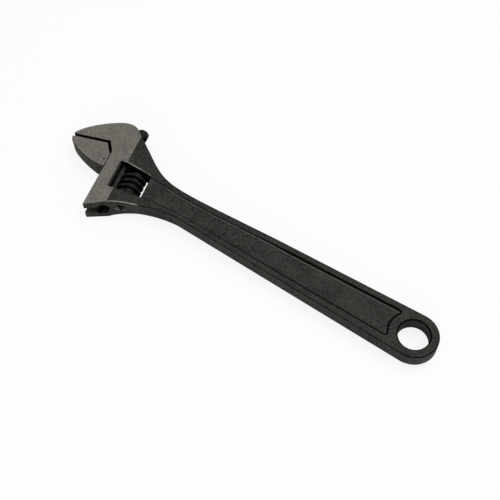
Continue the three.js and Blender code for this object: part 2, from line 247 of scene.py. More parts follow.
def plate(name: str, outline: Sequence[Point], low: float, high: float) -> Piece:
    """Makes a solid from an outline in X and Y, drawn out between two heights."""
    return prism(name, [Vector((x, y, low)) for x, y in outline], (0, 0, high - low))


def across(name: str, outline: Sequence[Point], reach: float) -> Piece:
    """Makes a solid from an outline in X and Z, drawn out by reach to either side along Y."""
    return prism(name, [Vector((x, -reach, z)) for x, z in outline], (0, 2 * reach, 0))


def rod(name: str, radius: float, low: float, high: float, sides: int = SMALL_SIDES) -> Piece:
    """Makes a round rod about Z between two heights.

    Args:
        name: The new object's name.
        radius: Its radius.
        low: Z of its lower end.
        high: Z of its upper end.
        sides: Flats round it.

    Returns:
        The rod.
    """
    bpy.ops.mesh.primitive_cylinder_add(
        vertices=sides, radius=radius, depth=high - low, location=(0, 0, (low + high) / 2)
    )
    piece = bpy.context.object
    piece.name = name
    return fix(piece)


def block(name: str, low: Sequence[float], high: Sequence[float]) -> Piece:
    """Makes a square block between two corners.

    Args:
        name: The new object's name.
        low: Its lowest corner.
        high: Its highest corner.

    Returns:
        The block.
    """
    centre = [(a + b) / 2 for a, b in zip(low, high)]
    bpy.ops.mesh.primitive_cube_add(size=1, location=centre)
    piece = bpy.context.object
    piece.name = name
    piece.scale = [b - a for a, b in zip(low, high)]
    return fix(piece)


def combine(piece: Piece, tool: Piece, way: Way) -> None:
    """Cuts, joins or trims a piece with a tool, and takes the tool away."""
    modify(piece, "BOOLEAN", {"operation": way.value, "solver": "EXACT", "object": tool})
    bpy.data.objects.remove(tool)


def turn_over(piece: Piece) -> None:
    """Mirrors a solid through the plane of X and Y, with its faces still outwards.

    Args:
        piece: The solid.
    """
    with editing(piece, SelectBy.VERTEX, whole=True):
        bpy.ops.transform.resize(value=(1, 1, -1), center_override=(0, 0, 0))
    face_outwards(piece)


def merge_close(piece: Piece, distance: float = STRAY) -> None:
    """Merges vertices that a cut has left closer than a distance."""
    with editing(piece, SelectBy.VERTEX, whole=True):
        bpy.ops.mesh.remove_doubles(threshold=distance)


def drop_slivers(piece: Piece) -> None:
    """Splits a piece into triangles and dissolves those with no height.

    Args:
        piece: The solid.
    """
    with editing(piece, SelectBy.VERTEX, whole=True):
        bpy.ops.mesh.quads_convert_to_tris()
        bpy.ops.mesh.dissolve_degenerate(threshold=STRAY)


def bevel_where(
    piece: Piece, wanted: EdgeTest, width: float, segments: int, finish: int = NEIGHBOURS
) -> int:
    """Rounds the edges that a test picks.

    Args:
        piece: The solid.
        wanted: True for an edge to round.
        width: Width of the rounding along each face.
        segments: Flats across the rounding.
        finish: Material slot of the new faces.

    Returns:
        How many edges were rounded.
    """
    with editing(piece, SelectBy.EDGE) as mesh:
        picked = [edge for edge in mesh.edges if len(edge.link_faces) == 2 and wanted(edge)]
        for edge in picked:
            edge.select_set(True)
        if picked:
            bpy.ops.mesh.bevel(
                offset=width, segments=segments, affect="EDGES", clamp_overlap=False,
                material=finish,
            )
    return len(picked)


def bevel_by_weight(piece: Piece, weight_of: EdgeWeight, width: float, segments: int) -> None:
    """Rounds edges by a width that changes along them.

    Args:
        piece: The solid.
        weight_of: The share of the full width for an edge, 0 where it stays sharp.
        width: The full width.
        segments: Flats across the rounding.
    """
    with editing(piece, SelectBy.EDGE) as mesh:
        weights = mesh.edges.layers.float.new("bevel_weight_edge")
        for edge in mesh.edges:
            edge[weights] = weight_of(edge) if len(edge.link_faces) == 2 else 0.0
    modify(piece, "BEVEL", {
        "limit_method": "WEIGHT", "width": width, "segments": segments,
        "use_clamp_overlap": False,
    })


def thread(
    name: str, section: Sequence[Point], lead: float, turns: tuple[int, int], steps: int
) -> Piece:
    """Makes a right-hand helical ridge about Z with a Screw modifier.

    Args:
        name: The new object's name.
        section: Corners of the ridge's section as (radius, height), in order.
        lead: Rise in one turn.
        turns: The turns at which it starts, where the section stands on +X, and ends.
        steps: Flats in one turn.

    Returns:
        The closed ridge.
    """
    first, last = turns
    start = first * lead
    piece = draw_face(name, [Vector((radius, 0, start + z)) for radius, z in section])
    with editing(piece, SelectBy.FACE, whole=True):
        bpy.ops.mesh.delete(type="ONLY_FACE")
    modify(piece, "SCREW", {
        "axis": "Z", "angle": math.tau, "screw_offset": lead, "iterations": last - first,
        "steps": steps, "render_steps": steps,
    })
    with editing(piece, SelectBy.EDGE):
        bpy.ops.mesh.select_non_manifold()
        bpy.ops.mesh.edge_face_add()
    face_outwards(piece)
    return piece


def smooth(piece: Piece, angle: float = 35.0) -> None:
    """Shades a piece smooth up to an angle, with its large flats kept flat.

    Args:
        piece: The finished piece.
        angle: The sharpest edge in degrees that is still smooth.
    """
    make_active(piece)
    bpy.ops.object.shade_smooth_by_angle(angle=math.radians(angle))
    modify(piece, "WEIGHTED_NORMAL", {"keep_sharp": True})


def open_edges(piece: Piece) -> int:
    """Counts the edges that don't join exactly two faces.

    Args:
        piece: The piece.

    Returns:
        Their number, 0 for a closed solid.
    """
    mesh = bmesh.new()
    mesh.from_mesh(piece.data)
    count = sum(1 for edge in mesh.edges if not edge.is_manifold)
    mesh.free()
    return count


def curve(start: Point, a: Point, b: Point, end: Point, steps: int) -> list[Point]:
    """Points along a cubic curve, without its start.

    Args:
        start: Where it starts.
        a: The point that it leaves towards.
        b: The point that it arrives from.
        end: Where it ends.
        steps: How many points.

    Returns:
        The points in order, the end with them.
    """
    points = []
    for i in range(1, steps + 1):
        t = i / steps
        weights = ((1 - t) ** 3, 3 * t * (1 - t) ** 2, 3 * t * t * (1 - t), t**3)
        points.append(
            tuple(sum(w * p[k] for w, p in zip(weights, (start, a, b, end))) for k in (0, 1))
        )
    return points


def bend(start: Point, corner: Point, end: Point, steps: int) -> list[Point]:
    """Points round a corner from one side of it to the other, without the start."""
    return curve(start, corner, corner, end, steps)


def arc(centre: Point, radius: float, start: float, end: float, steps: int) -> list[Point]:
    """Points along an arc between two angles in radians, both ends with it."""
    angles = [start + (end - start) * i / steps for i in range(steps + 1)]
    return [(centre[0] + radius * math.cos(a), centre[1] + radius * math.sin(a)) for a in angles]


def turn(edge: Edge) -> float:
    """The angle in degrees between an edge's two faces, 0 where they are flat."""
    return math.degrees(edge.calc_face_angle(0.0))


def middle(edge: Edge) -> Vector:
    """The middle of an edge."""
    return (edge.verts[0].co + edge.verts[1].co) / 2


def within(value: float, span: Point) -> bool:
    """True between two limits."""
    return span[0] < value < span[1]


def is_rim(edge: Edge, broad: float = BROAD) -> bool:
    """True where a broad upper or under side meets an upright wall."""
    heights = sorted(abs(face.normal.z) for face in edge.link_faces)
    return heights[0] < UPRIGHT and heights[1] > broad


# ------------------------------------------------------------------ layout
@dataclass(frozen=True)
class Layout:
    """Sizes that several pieces share, in millimetres."""

    tail_radius: float = 16.1
    handle_thickness: float = 10.6
    head_angle: float = math.radians(15)
    head_at: Point = (241.6, -21.0)
    head_thickness: float = 17.4
    tip_thickness: float = 9.3
    jaw_length: float = 46.8
    ridge_u: float = -3.4
    neck_slope: float = 19.9
    neck_blend: float = 11.0
    neck_steps: int = 8
    guide_u: float = 11.8
    throat_depth: float = 5.2
    throat_angle: float = math.radians(30)
    throat_clearance: float = 1.2
    near_wall: float = 13.1
    end_rise: float = 7.0
    end_corner: float = 0.9
    tip_round: float = 0.6
    window_near: float = 39.3
    window_far: float = 15.4
    window_skew: float = 3.9
    window_back: float = -23.2
    bar_radius: float = 4.4
    bar_far: float = -19.8
    key_thickness: float = 4.4
    key_lead: float = 7.4
    clearance: float = 0.3
    worm_radius: float = 8.6
    worm_length: float = 18.6
    lead: float = 4.8
    crest: float = 1.7
    flank: float = 0.7
    tooth_depth: float = 1.9
    core_clearance: float = 0.35
    seat_depth: float = 7.0
    seat_radius: float = 3.6
    pin_radius: float = 2.0
    pin_clearance: float = 0.25
    pin_head_radius: float = 3.2
    pin_head_land: float = 3.3
    pin_depth: float = 9.0
    overlap: float = 1.0
    past: float = 2.0

    @property
    def half(self) -> float:
        """Half the head's thickness."""
        return self.head_thickness / 2

    @property
    def worm_u(self) -> float:
        """Where the worm's axis lies."""
        return self.tooth_depth - self.bar_radius - self.worm_radius

    @property
    def core_radius(self) -> float:
        """Radius of the worm between its threads."""
        return self.worm_radius - self.tooth_depth - self.core_clearance

    @property
    def worm_near(self) -> float:
        """V of the worm's end by the end wall."""
        return self.window_near - self.clearance

    @property
    def worm_far(self) -> float:
        """V of the worm's spring end."""
        return self.worm_near - self.worm_length

    @property
    def throat_u(self) -> float:
        """U of the corner between the fixed jaw's face and its throat."""
        return self.guide_u + self.throat_depth

    @property
    def throat_v(self) -> float:
        """V of the corner between the throat and the guide face."""
        return self.throat_depth / math.tan(self.throat_angle)

    @property
    def jaw_guide_u(self) -> float:
        """U of the sliding jaw's face along the body."""
        return self.guide_u + self.clearance

    @property
    def jaw_throat_u(self) -> float:
        """U of the corner between the sliding jaw's face and its throat."""
        return self.throat_u + self.throat_clearance / math.cos(self.throat_angle)

    @property
    def jaw_slant(self) -> float:
        """How far the sliding jaw's throat runs along V."""
        return (self.jaw_throat_u - self.jaw_guide_u) / math.tan(self.throat_angle)

    @property
    def end_corner_v(self) -> float:
        """V of the head's outer corner."""
        return self.window_near + self.near_wall + self.end_rise

    def end_wall(self, u: float) -> float:
        """V of the slanting end wall at u."""
        slope = self.end_rise / (self.guide_u - self.ridge_u)
        return self.end_corner_v + (u - self.guide_u) * slope

    def far_wall(self, u: float) -> float:
        """V of the window's far wall at u."""
        slope = self.window_skew / (self.ridge_u - self.window_back)
        return self.window_far + (self.ridge_u - u) * slope

    def to_handle(self) -> Matrix:
        """The head frame's place in the handle frame."""
        turned = Matrix.Rotation(self.head_angle, 4, "Z")
        return Matrix.Translation((*self.head_at, 0)) @ turned

    def on_handle(self, point: Point) -> Point:
        """A point of the head frame, given in the handle frame."""
        moved = self.to_handle() @ Vector((*point, 0))
        return moved.x, moved.y

    def on_head(self, point: Vector) -> Vector:
        """A point of the handle frame, given in the head frame."""
        return self.to_handle().inverted() @ point

    def turned_to_head(self, direction: Vector) -> Vector:
        """A direction of the handle frame, given in the head frame."""
        return self.to_handle().inverted().to_3x3() @ direction

    def shaft(self, u: float) -> Matrix:
        """Place in the head frame of a shaft frame about the line at u."""
        axes = Matrix(((0, 1, 0, 0), (0, 0, 1, 0), (1, 0, 0, 0), (0, 0, 0, 1)))
        return Matrix.Translation((u, 0, 0)) @ axes

    def handle_place(self) -> Matrix:
        """The handle frame's place in the row frame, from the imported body's box.

        Returns:
            The matrix, from millimetres to metres.
        """
        low, high = (Vector(corner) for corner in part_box("body"))
        corner_u = self.guide_u - self.end_corner
        corner = self.on_handle((corner_u, self.end_wall(corner_u)))
        origin = Vector((low.x + self.tail_radius * MM, high.y - corner[1] * MM, 0))
        origin.z = (low.z + high.z) / 2
        return Matrix.Translation(origin) @ Matrix.Scale(MM, 4)

    def head_place(self) -> Matrix:
        """The head frame's place in the row frame."""
        return self.handle_place() @ self.to_handle()

    def worm_place(self) -> Matrix:
        """The place in the row frame of the shaft frame about the worm's axis."""
        return self.head_place() @ self.shaft(self.worm_u)

    def turns(self, low: float, high: float) -> tuple[int, int]:
        """The first and last turn of a thread that reaches past two heights."""
        return math.floor(low / self.lead) - 1, math.ceil(high / self.lead) + 1

    def side_view(self) -> list[Point]:
        """Upper line of the wrench's side view as (u, z), from the jaw tips to past the tail.

        Returns:
            The points in order.
        """
        tip, ridge, handle = self.tip_thickness / 2, self.half, self.handle_thickness / 2
        taper = (ridge - tip) / (self.jaw_length - self.ridge_u)
        foot = (self.ridge_u - self.neck_slope, handle)
        slope = (ridge - handle) / self.neck_slope
        blend = (foot[0] + self.neck_blend, handle + slope * self.neck_blend)
        settled = (foot[0] - self.neck_blend, handle)
        return [
            (self.jaw_length + self.past, tip - taper * self.past),
            (self.ridge_u, ridge),
            blend,
            *bend(blend, foot, settled, self.neck_steps),
            (-2 * (self.head_at[0] + self.tail_radius), handle),
        ]

    def side_trim(self) -> Piece:
        """The side view drawn out across the width, in the head frame.

        Returns:
            The solid that a blank is trimmed with.
        """
        upper = self.side_view()
        outline = upper + [(u, -z) for u, z in reversed(upper)]
        reach = 2 * (self.head_at[0] + self.tail_radius)
        return across("side_trim", outline, reach)

    def thread_section(self, grow: float, low: float, round_off: float) -> list[Point]:
        """Corners of the thread's section.

        Args:
            grow: Added to each side and to the crest.
            low: Radius of its foot.
            round_off: Size of the crest's broken corners.

        Returns:
            Corners as (radius, height), in order.
        """
        high = self.worm_radius + grow
        foot = self.crest / 2 + self.flank + grow
        crest = self.crest / 2 + grow
        return [
            (low, -foot),
            (high - round_off, -crest - round_off * self.flank / self.tooth_depth),
            (high, -crest + round_off),
            (high, crest - round_off),
            (high - round_off, crest + round_off * self.flank / self.tooth_depth),
            (low, foot),
        ]


PLAN = Layout()


# ------------------------------------------------------------------ finishes
def srgb(code: str) -> tuple[float, float, float, float]:
    """Turns an sRGB hex colour to linear.

    Args:
        code: Six hex digits after a hash.

    Returns:
        Linear red, green, blue and full opacity.
    """
    channels = [int(code[i : i + 2], 16) / 255 for i in (1, 3, 5)]
    linear = [c / 12.92 if c <= 0.04045 else ((c + 0.055) / 1.055) ** 2.4 for c in channels]
    return (*linear, 1.0)


def add_node(
    tree: Tree, kind: str, settings: dict | None = None, links: dict | None = None
) -> bpy.types.Node:
    """Adds one node with its settings and its incoming links.

    Args:
        tree: The node tree it goes into.
        kind: Blender's name of the node type.
        settings: Values by the name of a property or, where there is none, of an input.
        links: Output sockets by the name or number of the input each one feeds.

    Returns:
        The node.
    """
    node = tree.nodes.new(kind)
    for name, value in (settings or {}).items():
        if isinstance(name, str) and hasattr(node, name):
            setattr(node, name, value)
        else:
            node.inputs[name].default_value = value
    for name, source in (links or {}).items():
        tree.links.new(source, node.inputs[name])
    return node


def per_metre(millimetres: float) -> float:
    """Texture scale whose features are about this many millimetres across."""
    return 1 / (millimetres * MM)


def new_material(name: str) -> tuple[bpy.types.Material, Tree]:
    """An empty node material and its tree.

    Args:
        name: The material's name.

    Returns:
        The material and its tree.
    """
    material = bpy.data.materials.new(name)
    material.use_nodes = True
    material.node_tree.nodes.clear()
    return material, material.node_tree


@dataclass(frozen=True)
class Finish:
    """What the finishes share: two tones, a span of roughness and a fine relief."""

    name: str
    dark: str
    light: str
    faint_share: float
    span: Point
    roughness: Point
    bump: float
    relief_mm: float

    def material(self) -> bpy.types.Material:
        """Builds the material, with its patterns in Object coordinates.

        Returns:
            The material.
        """
        material, tree = new_material(self.name)
        self.lay(tree, add_node(tree, "ShaderNodeTexCoord").outputs["Object"])
        return material

    def lay(self, tree: Tree, at: Socket) -> None:
        """Adds the finish's own nodes.

        Args:
            tree: The node tree.
            at: The place on the piece.
        """
        raise NotImplementedError

    def two_tone(self, tree: Tree, faint: Socket, strong: Socket) -> Socket:
        """Spreads the sum of two patterns between the finish's tones.

        Args:
            tree: The node tree.
            faint: The pattern of which only a share counts.
            strong: The pattern that counts in full.

        Returns:
            The colour's socket.
        """
        both = add_node(
            tree, "ShaderNodeMath", {"operation": "MULTIPLY_ADD", 1: self.faint_share},
            {0: faint, 2: strong},
        )
        ramp = add_node(tree, "ShaderNodeValToRGB", links={"Fac": both.outputs[0]})
        for mark, level, tone in zip(ramp.color_ramp.elements, self.span, (self.dark, self.light)):
            mark.position = level
            mark.color = srgb(tone)
        return ramp.outputs["Color"]

    def surface(
        self, tree: Tree, colour: Socket,
        gloss: Socket, height: Socket, settings: dict,
    ) -> None:
        """Ends the tree in one shader, with the finish's roughness and relief.

        Args:
            tree: The node tree.
            colour: The colour's socket.
            gloss: The pattern that the roughness follows.
            height: The pattern that stands out.
            settings: The shader's own settings.
        """
        rough = add_node(
            tree, "ShaderNodeMapRange",
            {"To Min": self.roughness[0], "To Max": self.roughness[1]}, {"Value": gloss},
        )
        relief = add_node(
            tree, "ShaderNodeBump", {"Strength": self.bump, "Distance": self.relief_mm * MM},
            {"Height": height},
        )
        shader = add_node(
            tree, "ShaderNodeBsdfPrincipled", settings,
            {"Base Color": colour, "Roughness": rough.outputs["Result"],
             "Normal": relief.outputs["Normal"]},
        )
        add_node(tree, "ShaderNodeOutputMaterial", links={"Surface": shader.outputs["BSDF"]})


@dataclass(frozen=True)
class BlackForging(Finish):
    """Black phosphated drop forging: a dull, slightly green black over a shot-blasted skin."""

    name: str = "black_phosphated_forging"
    dark: str = "#060705"
    light: str = "#393a35"
    faint_share: float = 0.3
    span: Point = (0.5, 0.8)
    roughness: Point = (0.48, 0.64)
    bump: float = 0.5
    relief_mm: float = 0.1
    sheen: float = 0.12
    grain_mm: float = 1.4
    patch_mm: float = 12.0
    pit_mm: float = 0.45
    pit_share: float = 0.4
    # True mixes in uncoated steel by patches, which is real wear and a painted highlight at once;
    # the colour below is that steel's.
    rubbed_and_highlit: bool = False
    bare_and_highlight: str = "#c4c1ba"
    bare_and_highlight_from: Point = (0.32, 0.48)

    def lay(self, tree: Tree, at: Socket) -> None:
        """Adds patches, grain and pits, and where asked, uncoated steel: wear and painted
        highlight at once.

        Args:
            tree: The node tree.
            at: The place on the piece.
        """
        patches = add_node(
            tree, "ShaderNodeTexNoise", {"Scale": per_metre(self.patch_mm), "Detail": 4.0},
            {"Vector": at},
        ).outputs["Fac"]
        # The blasted skin's real grain of 0.1 mm is too fine to show, so it is drawn coarser.
        grain = add_node(
            tree, "ShaderNodeTexNoise",
            {"Scale": per_metre(self.grain_mm), "Detail": 6.0, "Roughness": 0.7}, {"Vector": at},
        ).outputs["Fac"]
        pits = add_node(
            tree, "ShaderNodeTexVoronoi", {"Scale": per_metre(self.pit_mm)}, {"Vector": at}
        )
        colour = self.two_tone(tree, patches, grain)
        # Uncoated steel in patches: wear, and the painted highlight of a lit lip.
        if self.rubbed_and_highlit:
            wear_and_highlight = add_node(
                tree, "ShaderNodeMapRange",
                {"From Min": self.bare_and_highlight_from[0], "From Max": self.bare_and_highlight_from[1]},
                {"Value": patches},
            )
            wear_and_highlight_mask = add_node(
                tree, "ShaderNodeMath", {"operation": "MULTIPLY"},
                {0: wear_and_highlight.outputs["Result"], 1: grain},
            )
            colour = add_node(
                tree, "ShaderNodeMix", {"data_type": "RGBA", 7: srgb(self.bare_and_highlight)},
                {0: wear_and_highlight_mask.outputs[0], 6: colour},
            ).outputs[2]
        height = add_node(
            tree, "ShaderNodeMath", {"operation": "MULTIPLY_ADD", 1: self.pit_share},
            {0: pits.outputs["Distance"], 2: grain},
        )
        self.surface(tree, colour, grain, height.outputs[0], {"Specular IOR Level": self.sheen})


@dataclass(frozen=True)
class PaintedShadeForging(BlackForging):
    """Phosphated forging made a flat black without sheen: painted shade on slopes, rounded edges
    and recess walls.
    """

    name: str = "painted_shade_forging"
    dark: str = "#060606"
    light: str = "#121210"
    sheen: float = 0.0


@dataclass(frozen=True)
class BlackOxide(Finish):
    """Oiled black oxide on machined steel: a smooth deep black, paler where it is handled."""

    name: str = "black_oxide"
    dark: str = "#151514"
    light: str = "#262624"
    faint_share: float = 0.5
    span: Point = (0.55, 0.95)
    roughness: Point = (0.28, 0.42)
    bump: float = 0.3
    relief_mm: float = 0.01
    streak_mm: float = 0.5
    patch_mm: float = 3.0

    def lay(self, tree: Tree, at: Socket) -> None:
        """Adds fine streaks over wider patches.

        Args:
            tree: The node tree.
            at: The place on the piece.
        """
        streaks = add_node(
            tree, "ShaderNodeTexNoise",
            {"Scale": per_metre(self.streak_mm), "Detail": 5.0, "Roughness": 0.6}, {"Vector": at},
        ).outputs["Fac"]
        patches = add_node(
            tree, "ShaderNodeTexNoise", {"Scale": per_metre(self.patch_mm), "Detail": 3.0},
            {"Vector": at},
        ).outputs["Fac"]
        colour = self.two_tone(tree, streaks, patches)
        oiled = {"Metallic": 0.9, "Specular Tint": (0.5, 0.5, 0.5, 1.0)}
        self.surface(tree, colour, patches, streaks, oiled)


@dataclass(frozen=True)
class GroundSteel(Finish):
    """Surface-ground alloy steel: a warm grey sheen with fine short grinding lines."""

    name: str = "ground_alloy_steel"
    dark: str = "#4a4743"
    light: str = "#837f78"
    faint_share: float = 0.25
    span: Point = (0.42, 0.83)
    roughness: Point = (0.34, 0.46)
    bump: float = 0.35
    relief_mm: float = 0.012
    line_mm: float = 0.5
    line_stretch: float = 3.5
    patch_mm: float = 9.0

    def lay(self, tree: Tree, at: Socket) -> None:
        """Adds grinding lines along the jaws over wider patches.

        Args:
            tree: The node tree.
            at: The place on the piece.
        """
        along = add_node(
            tree, "ShaderNodeMapping",
            {"Rotation": (0, 0, PLAN.head_angle), "Scale": (1 / self.line_stretch, 1, 1)},
            {"Vector": at},
        )
        # Real grinding lines are some 0.05 mm apart and are drawn wider, so that they show.
        lines = add_node(
            tree, "ShaderNodeTexNoise",
            {"Scale": per_metre(self.line_mm), "Detail": 5.0, "Roughness": 0.65},
            {"Vector": along.outputs["Vector"]},
        ).outputs["Fac"]
        patches = add_node(
            tree, "ShaderNodeTexNoise", {"Scale": per_metre(self.patch_mm), "Detail": 3.0},
            {"Vector": at},
        ).outputs["Fac"]
        colour = self.two_tone(tree, patches, lines)
        self.surface(tree, colour, patches, lines, {"Metallic": 1.0})


def coat(piece: Piece, *finishes: Finish) -> None:
    """Gives a piece a material slot for each finish, in order."""
    for finish in finishes:
        piece.data.materials.append(finish.material())


# ------------------------------------------------------------------ body
@dataclass(frozen=True)
class BodyLeans:
    """What tells the body's finishes apart: how far up or down a face looks, as its normal's Z."""

    ground: float = 0.985
    window_wall: float = 0.2
    mouth: float = 0.3
    # Slopes of the head's front edge that get uncoated steel as a painted highlight.
    rubbed_and_highlit: Point = (0.3, 0.98)
    # Slopes at the panel's foot that get a painted highlight.
    painted_light: Point = (0.8, 0.99)
    # Slopes that get painted shade: those seen edge-on, and those facing the front.
    painted_shade_edge: Point = (0.2, 0.97)
    painted_shade_front: Point = (0.45, 0.9)


@dataclass
class ForgedBody:
    """The one-piece forging: handle, neck, fixed jaw and the cuts in its head."""

    waist_x: float = 176.0
    waist_half: float = 10.8
    back_lead: float = 66.0
    back_neck: tuple[Point, Point] = ((104.9, 4.85), (-40.4, 26.1))
    heel_v: float = -10.2
    heel: tuple[Point, Point, Point] = ((2.0, -17.5), (5.8, -19.4), (12.2, -19.4))
    jaw_back: tuple[Point, Point] = ((25.4, -17.7), (43.9, -7.5))
    front_neck: tuple[Point, Point] = ((-9.1, 47.5), (20.6, 0.0))
    curve_steps: int = 28
    tail_steps: int = 56
    handle_round: float = 0.9
    head_round: float = 0.4
    end_round: float = 0.45
    machined_round: float = 0.2
    round_segments: int = 5
    head_round_from: float = -60.0
    head_round_over: float = 50.0
    hole_radius: float = 10.2
    hole_round: float = 1.0
    boss_width: float = 6.0
    web: float = 7.4
    panel_ends: Point = (-11.2, 10.7)
    panel_straight: tuple[Point, Point] = ((95.0, -9.1), (95.0, 9.4))
    panel_waist: tuple[Point, Point] = ((172.0, -6.5), (172.0, 8.5))
    panel_neck: tuple[Point, Point] = ((215.0, -9.0), (215.0, 12.6))
    panel_lean: float = 1 / 6
    # How far the edge's two curves hold their course: from the straight, before the waist,
    # after it, and before the neck.
    panel_pulls: tuple[float, float, float, float] = (30.0, 25.0, 14.0, 16.0)
    panel_narrowing: float = 0.8
    panel_steps: tuple[int, int] = (12, 8)
    boss_steps: int = 16
    ear_radius: float = 2.0
    ear_steps: int = 8
    panel_draft: float = 1.6
    foot_level: float = 0.98
    foot_fillet: float = 0.4
    panel_lip: float = 0.3
    lip_from: float = 12.0
    lip_fade: float = 6.0
    lip_half: float = 12.5
    lip_turn: float = 24.0
    floor_rise: tuple[Point, ...] = ((88.0, 3.7), (137.0, 4.5), (187.0, 4.6), (215.0, 5.15))
    # The same for the floor: at both ends of its first rise, after the level, before the end.
    floor_pulls: tuple[float, float, float] = (20.0, 10.0, 12.0)
    floor_dip: float = 0.4
    floor_steps: int = 6
    blank_merge: float = 0.45
    cut_merge: float = 0.02
    window_front: float = 2.0
    window_corner: float = 2.4
    corner_steps: int = 6
    window_lip: float = 0.1
    window_broad: float = 0.8
    window_level: float = 4.5
    far_lip: float = 0.45
    bore_lip: float = 0.5
    bore_facing: float = 0.85
    bore_turn: float = 50.0
    spring_wall_facing: float = 0.5
    shoulder_from: float = 3.0
    panel_below: float = 4.9
    leans: BodyLeans = BodyLeans()

    def half_width(self, x: float) -> float:
        """Half the width of the straight tapered handle at x."""
        tail = PLAN.tail_radius
        return tail + (self.waist_half - tail) * x / self.waist_x

    def outline(self) -> list[Point]:
        """Plan of the body in the handle frame, from the tail round by the fixed jaw's back.

        Returns:
            The corners in order, not closed.
        """
        steps = self.curve_steps
        taper = math.asin((PLAN.tail_radius - self.waist_half) / self.waist_x)
        points = arc(
            (0, 0), PLAN.tail_radius, math.pi / 2 - taper, 1.5 * math.pi + taper, self.tail_steps
        )
        back_x = self.waist_x - self.back_lead
        back_start = (back_x, -self.half_width(back_x))
        waist_front = (self.waist_x, self.waist_half)
        ridge_back = PLAN.on_handle((PLAN.ridge_u, self.heel_v))
        heel = [PLAN.on_handle(point) for point in self.heel]
        jaw_back = [PLAN.on_handle(point) for point in self.jaw_back]
        tip = PLAN.on_handle((PLAN.jaw_length, -PLAN.tip_round))
        corner_u = PLAN.guide_u - PLAN.end_corner
        end_bend = PLAN.on_handle((PLAN.ridge_u, PLAN.end_wall(PLAN.ridge_u)))
        points.append(back_start)
        points += curve(
            back_start,
            (back_start[0] + self.back_neck[0][0], back_start[1] + self.back_neck[0][1]),
            PLAN.on_handle(self.back_neck[1]), ridge_back, 2 * steps,
        )
        points += curve(ridge_back, *heel, steps // 2)
        points += curve(heel[-1], *jaw_back, tip, steps)
        points += [
            PLAN.on_handle(point)
            for point in (
                (PLAN.jaw_length - PLAN.tip_round, 0),
                (PLAN.throat_u, 0),
                (PLAN.guide_u, PLAN.throat_v),
                (PLAN.guide_u, PLAN.end_corner_v - PLAN.end_corner),
                (corner_u, PLAN.end_wall(corner_u)),
                (PLAN.ridge_u, PLAN.end_wall(PLAN.ridge_u)),
            )
        ]
        points += curve(
            end_bend, PLAN.on_handle(self.front_neck[0]),
            (self.waist_x + self.front_neck[1][0], self.waist_half + self.front_neck[1][1]),
            waist_front, steps,
        )
        return points

    def rounding(self, edge: Edge) -> float:
        """Share of the handle's rounding for a rim edge: less on the head, least where cut.

        Args:
            edge: An edge of the blank.

        Returns:
            The share, 0 where the edge stays sharp.
        """
        if not is_rim(edge):
            return 0.0
        at = PLAN.on_head(middle(edge))
        if at.y > PLAN.end_wall(at.x) - 2 * TOUCH and at.x > PLAN.ridge_u:
            size = self.end_round
        elif at.x > PLAN.guide_u - TOUCH and at.y > -TOUCH:
            size = self.machined_round
        else:
            share = min(max((at.x - self.head_round_from) / self.head_round_over, 0.0), 1.0)
            size = self.handle_round + (self.head_round - self.handle_round) * share
        return size / self.handle_round

    def blank(self) -> Piece:
        """The forging before any cut, with its outer edges rounded.

        Returns:
            The blank in the handle frame.
        """
        high = PLAN.half + PLAN.overlap
        piece = plate("body_forging", self.outline(), -high, high)
        combine(piece, place(PLAN.side_trim(), PLAN.to_handle()), Way.COMMON)
        merge_close(piece, self.blank_merge)
        bevel_by_weight(piece, self.rounding, self.handle_round, self.round_segments)
        return piece

    def ear(self, edge_y: float) -> list[Point]:
        """The rounded corner from the boss round the hole to a long edge of the panel.

        Args:
            edge_y: Y of the panel's edge at its tail end.

        Returns:
            The corner's points, from the boss to the edge.
        """
        radius = self.ear_radius
        level = abs(edge_y) - radius
        reach = self.hole_radius + self.boss_width + radius
        along = math.sqrt(reach**2 - level**2)
        start = math.pi - math.atan2(level, along)
        side = math.copysign(1, edge_y)
        corner = arc((along, -level), radius, start, 1.5 * math.pi, self.ear_steps)
        return [(x, -side * y) for x, y in corner]

    def panel_outline(self) -> list[Point]:
        """Plan of the sunk panel at its foot's height, from the boss round the hole to the neck.

        Returns:
            The corners in order, not closed.
        """
        back, front = (self.ear(y) for y in self.panel_ends)
        boss = self.hole_radius + self.boss_width
        first, last = (math.atan2(y, x) for x, y in (front[0], back[0]))
        leave, meet, part, arrive = self.panel_pulls
        handle_steps, neck_steps = self.panel_steps
        edges = []
        for straight, waist, neck in zip(self.panel_straight, self.panel_waist, self.panel_neck):
            lean = (waist[1] - straight[1]) * self.panel_lean
            edges.append([
                straight,
                *curve(
                    straight, (straight[0] + leave, straight[1] + lean),
                    (waist[0] - meet, waist[1]), waist, handle_steps,
                ),
                *curve(
                    waist, (waist[0] + part, waist[1]),
                    (neck[0] - arrive, neck[1] * self.panel_narrowing), neck, neck_steps,
                ),
            ])
        round_boss = arc((0, 0), boss, first, last, self.boss_steps)[1:-1]
        return round_boss + back + edges[0] + edges[1][::-1] + front[::-1]

    def cut_panel(self, piece: Piece, side: Side) -> None:
        """Sinks the panel into one side, with sloping walls and a floor that rises to the neck.

        Args:
            piece: The blank.
            side: The side that is cut.
        """
        half_web = self.web / 2
        top = PLAN.half + PLAN.past
        tool = plate("panel_cut", self.panel_outline(), half_web, top)
        start, shallow, steady, end = self.floor_rise
        ease, leave, arrive = self.floor_pulls
        tail = (-PLAN.tail_radius, half_web)
        floor = [
            tail, start,
            *curve(
                start, (start[0] + ease, start[1]), (shallow[0] - ease, shallow[1]), shallow,
                self.floor_steps,
            ),
            steady,
            *curve(
                steady, (steady[0] + leave, steady[1]), (end[0] - arrive, end[1] - self.floor_dip),
                end, self.floor_steps,
            ),
        ]
        above = top + PLAN.overlap
        outline = floor + [(end[0], above), (tail[0], above)]
        combine(tool, across("panel_rise", outline, 2 * PLAN.tail_radius), Way.COMMON)

